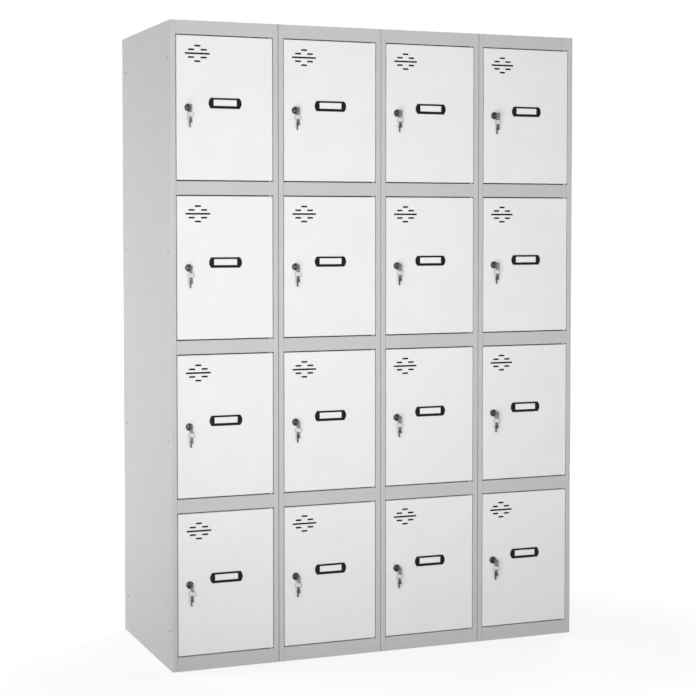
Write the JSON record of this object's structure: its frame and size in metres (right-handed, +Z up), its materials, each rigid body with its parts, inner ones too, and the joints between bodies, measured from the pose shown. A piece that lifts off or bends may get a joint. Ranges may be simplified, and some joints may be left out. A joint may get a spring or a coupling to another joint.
{
  "type": "locker cabinet",
  "caption": "Steel locker cabinet of column modules with small flush vented doors on pivot pins, label holders and keyed cam locks.",
  "frame": {"origin": "on the floor, under the middle of the cabinet's footprint", "axes": "+X to the right along the doors, +Y from the doors to the back, +Z up"},
  "size_m": [1.248, 0.578, 1.8],
  "materials": {
    "body_paint": "light grey fine-textured powder coat",
    "door_paint": "off-white fine-textured powder coat",
    "black_plastic": "black moulded plastic, satin gloss",
    "lock_metal": "nickel-plated zinc and brass, slightly dull"
  },
  "bodies": {
    "cabinet": {"left_side": "body_paint", "right_side": "body_paint", "partition_1": "body_paint", "partition_2": "body_paint", "partition_3": "body_paint", "backs": "body_paint", "tops": "body_paint", "bases": "body_paint", "shelves": "body_paint"},
    "leaf_r1c1": {"door_r1c1": "door_paint", "fittings_r1c1": "black_plastic"},
    "plug_r1c1": {"lock_r1c1": "lock_metal"},
    "leaf_r1c2": {"door_r1c2": "door_paint", "fittings_r1c2": "black_plastic"},
    "plug_r1c2": {"lock_r1c2": "lock_metal"},
    "leaf_r1c3": {"door_r1c3": "door_paint", "fittings_r1c3": "black_plastic"},
    "plug_r1c3": {"lock_r1c3": "lock_metal"},
    "leaf_r1c4": {"door_r1c4": "door_paint", "fittings_r1c4": "black_plastic"},
    "plug_r1c4": {"lock_r1c4": "lock_metal"},
    "leaf_r2c1": {"door_r2c1": "door_paint", "fittings_r2c1": "black_plastic"},
    "plug_r2c1": {"lock_r2c1": "lock_metal"},
    "leaf_r2c2": {"door_r2c2": "door_paint", "fittings_r2c2": "black_plastic"},
    "plug_r2c2": {"lock_r2c2": "lock_metal"},
    "leaf_r2c3": {"door_r2c3": "door_paint", "fittings_r2c3": "black_plastic"},
    "plug_r2c3": {"lock_r2c3": "lock_metal"},
    "leaf_r2c4": {"door_r2c4": "door_paint", "fittings_r2c4": "black_plastic"},
    "plug_r2c4": {"lock_r2c4": "lock_metal"},
    "leaf_r3c1": {"door_r3c1": "door_paint", "fittings_r3c1": "black_plastic"},
    "plug_r3c1": {"lock_r3c1": "lock_metal"},
    "leaf_r3c2": {"door_r3c2": "door_paint", "fittings_r3c2": "black_plastic"},
    "plug_r3c2": {"lock_r3c2": "lock_metal"},
    "leaf_r3c3": {"door_r3c3": "door_paint", "fittings_r3c3": "black_plastic"},
    "plug_r3c3": {"lock_r3c3": "lock_metal"},
    "leaf_r3c4": {"door_r3c4": "door_paint", "fittings_r3c4": "black_plastic"},
    "plug_r3c4": {"lock_r3c4": "lock_metal"},
    "leaf_r4c1": {"door_r4c1": "door_paint", "fittings_r4c1": "black_plastic"},
    "plug_r4c1": {"lock_r4c1": "lock_metal"},
    "leaf_r4c2": {"door_r4c2": "door_paint", "fittings_r4c2": "black_plastic"},
    "plug_r4c2": {"lock_r4c2": "lock_metal"},
    "leaf_r4c3": {"door_r4c3": "door_paint", "fittings_r4c3": "black_plastic"},
    "plug_r4c3": {"lock_r4c3": "lock_metal"},
    "leaf_r4c4": {"door_r4c4": "door_paint", "fittings_r4c4": "black_plastic"},
    "plug_r4c4": {"lock_r4c4": "lock_metal"}
  },
  "joints": [
    {"name": "hinge_r1c1", "type": "hinge", "parent": "cabinet", "child": "leaf_r1c1", "pos_m": [-0.335, -0.2645, 1.561], "axis": [0, 0, 1], "range_deg": [0, 110]},
    {"name": "turn_r1c1", "type": "hinge", "parent": "leaf_r1c1", "child": "plug_r1c1", "pos_m": [-0.574, -0.27, 1.561], "axis": [0, 1, 0], "range_deg": [0, 90]},
    {"name": "hinge_r1c2", "type": "hinge", "parent": "cabinet", "child": "leaf_r1c2", "pos_m": [-0.023, -0.2645, 1.561], "axis": [0, 0, 1], "range_deg": [0, 110]},
    {"name": "turn_r1c2", "type": "hinge", "parent": "leaf_r1c2", "child": "plug_r1c2", "pos_m": [-0.262, -0.27, 1.561], "axis": [0, 1, 0], "range_deg": [0, 90]},
    {"name": "hinge_r1c3", "type": "hinge", "parent": "cabinet", "child": "leaf_r1c3", "pos_m": [0.289, -0.2645, 1.561], "axis": [0, 0, 1], "range_deg": [0, 110]},
    {"name": "turn_r1c3", "type": "hinge", "parent": "leaf_r1c3", "child": "plug_r1c3", "pos_m": [0.05, -0.27, 1.561], "axis": [0, 1, 0], "range_deg": [0, 90]},
    {"name": "hinge_r1c4", "type": "hinge", "parent": "cabinet", "child": "leaf_r1c4", "pos_m": [0.601, -0.2645, 1.561], "axis": [0, 0, 1], "range_deg": [0, 110]},
    {"name": "turn_r1c4", "type": "hinge", "parent": "leaf_r1c4", "child": "plug_r1c4", "pos_m": [0.362, -0.27, 1.561], "axis": [0, 1, 0], "range_deg": [0, 90]},
    {"name": "hinge_r2c1", "type": "hinge", "parent": "cabinet", "child": "leaf_r2c1", "pos_m": [-0.335, -0.2645, 1.121], "axis": [0, 0, 1], "range_deg": [0, 110]},
    {"name": "turn_r2c1", "type": "hinge", "parent": "leaf_r2c1", "child": "plug_r2c1", "pos_m": [-0.574, -0.27, 1.121], "axis": [0, 1, 0], "range_deg": [0, 90]},
    {"name": "hinge_r2c2", "type": "hinge", "parent": "cabinet", "child": "leaf_r2c2", "pos_m": [-0.023, -0.2645, 1.121], "axis": [0, 0, 1], "range_deg": [0, 110]},
    {"name": "turn_r2c2", "type": "hinge", "parent": "leaf_r2c2", "child": "plug_r2c2", "pos_m": [-0.262, -0.27, 1.121], "axis": [0, 1, 0], "range_deg": [0, 90]},
    {"name": "hinge_r2c3", "type": "hinge", "parent": "cabinet", "child": "leaf_r2c3", "pos_m": [0.289, -0.2645, 1.121], "axis": [0, 0, 1], "range_deg": [0, 110]},
    {"name": "turn_r2c3", "type": "hinge", "parent": "leaf_r2c3", "child": "plug_r2c3", "pos_m": [0.05, -0.27, 1.121], "axis": [0, 1, 0], "range_deg": [0, 90]},
    {"name": "hinge_r2c4", "type": "hinge", "parent": "cabinet", "child": "leaf_r2c4", "pos_m": [0.601, -0.2645, 1.121], "axis": [0, 0, 1], "range_deg": [0, 110]},
    {"name": "turn_r2c4", "type": "hinge", "parent": "leaf_r2c4", "child": "plug_r2c4", "pos_m": [0.362, -0.27, 1.121], "axis": [0, 1, 0], "range_deg": [0, 90]},
    {"name": "hinge_r3c1", "type": "hinge", "parent": "cabinet", "child": "leaf_r3c1", "pos_m": [-0.335, -0.2645, 0.681], "axis": [0, 0, 1], "range_deg": [0, 110]},
    {"name": "turn_r3c1", "type": "hinge", "parent": "leaf_r3c1", "child": "plug_r3c1", "pos_m": [-0.574, -0.27, 0.681], "axis": [0, 1, 0], "range_deg": [0, 90]},
    {"name": "hinge_r3c2", "type": "hinge", "parent": "cabinet", "child": "leaf_r3c2", "pos_m": [-0.023, -0.2645, 0.681], "axis": [0, 0, 1], "range_deg": [0, 110]},
    {"name": "turn_r3c2", "type": "hinge", "parent": "leaf_r3c2", "child": "plug_r3c2", "pos_m": [-0.262, -0.27, 0.681], "axis": [0, 1, 0], "range_deg": [0, 90]},
    {"name": "hinge_r3c3", "type": "hinge", "parent": "cabinet", "child": "leaf_r3c3", "pos_m": [0.289, -0.2645, 0.681], "axis": [0, 0, 1], "range_deg": [0, 110]},
    {"name": "turn_r3c3", "type": "hinge", "parent": "leaf_r3c3", "child": "plug_r3c3", "pos_m": [0.05, -0.27, 0.681], "axis": [0, 1, 0], "range_deg": [0, 90]},
    {"name": "hinge_r3c4", "type": "hinge", "parent": "cabinet", "child": "leaf_r3c4", "pos_m": [0.601, -0.2645, 0.681], "axis": [0, 0, 1], "range_deg": [0, 110]},
    {"name": "turn_r3c4", "type": "hinge", "parent": "leaf_r3c4", "child": "plug_r3c4", "pos_m": [0.362, -0.27, 0.681], "axis": [0, 1, 0], "range_deg": [0, 90]},
    {"name": "hinge_r4c1", "type": "hinge", "parent": "cabinet", "child": "leaf_r4c1", "pos_m": [-0.335, -0.2645, 0.241], "axis": [0, 0, 1], "range_deg": [0, 110]},
    {"name": "turn_r4c1", "type": "hinge", "parent": "leaf_r4c1", "child": "plug_r4c1", "pos_m": [-0.574, -0.27, 0.241], "axis": [0, 1, 0], "range_deg": [0, 90]},
    {"name": "hinge_r4c2", "type": "hinge", "parent": "cabinet", "child": "leaf_r4c2", "pos_m": [-0.023, -0.2645, 0.241], "axis": [0, 0, 1], "range_deg": [0, 110]},
    {"name": "turn_r4c2", "type": "hinge", "parent": "leaf_r4c2", "child": "plug_r4c2", "pos_m": [-0.262, -0.27, 0.241], "axis": [0, 1, 0], "range_deg": [0, 90]},
    {"name": "hinge_r4c3", "type": "hinge", "parent": "cabinet", "child": "leaf_r4c3", "pos_m": [0.289, -0.2645, 0.241], "axis": [0, 0, 1], "range_deg": [0, 110]},
    {"name": "turn_r4c3", "type": "hinge", "parent": "leaf_r4c3", "child": "plug_r4c3", "pos_m": [0.05, -0.27, 0.241], "axis": [0, 1, 0], "range_deg": [0, 90]},
    {"name": "hinge_r4c4", "type": "hinge", "parent": "cabinet", "child": "leaf_r4c4", "pos_m": [0.601, -0.2645, 0.241], "axis": [0, 0, 1], "range_deg": [0, 110]},
    {"name": "turn_r4c4", "type": "hinge", "parent": "leaf_r4c4", "child": "plug_r4c4", "pos_m": [0.362, -0.27, 0.241], "axis": [0, 1, 0], "range_deg": [0, 90]}
  ]
}
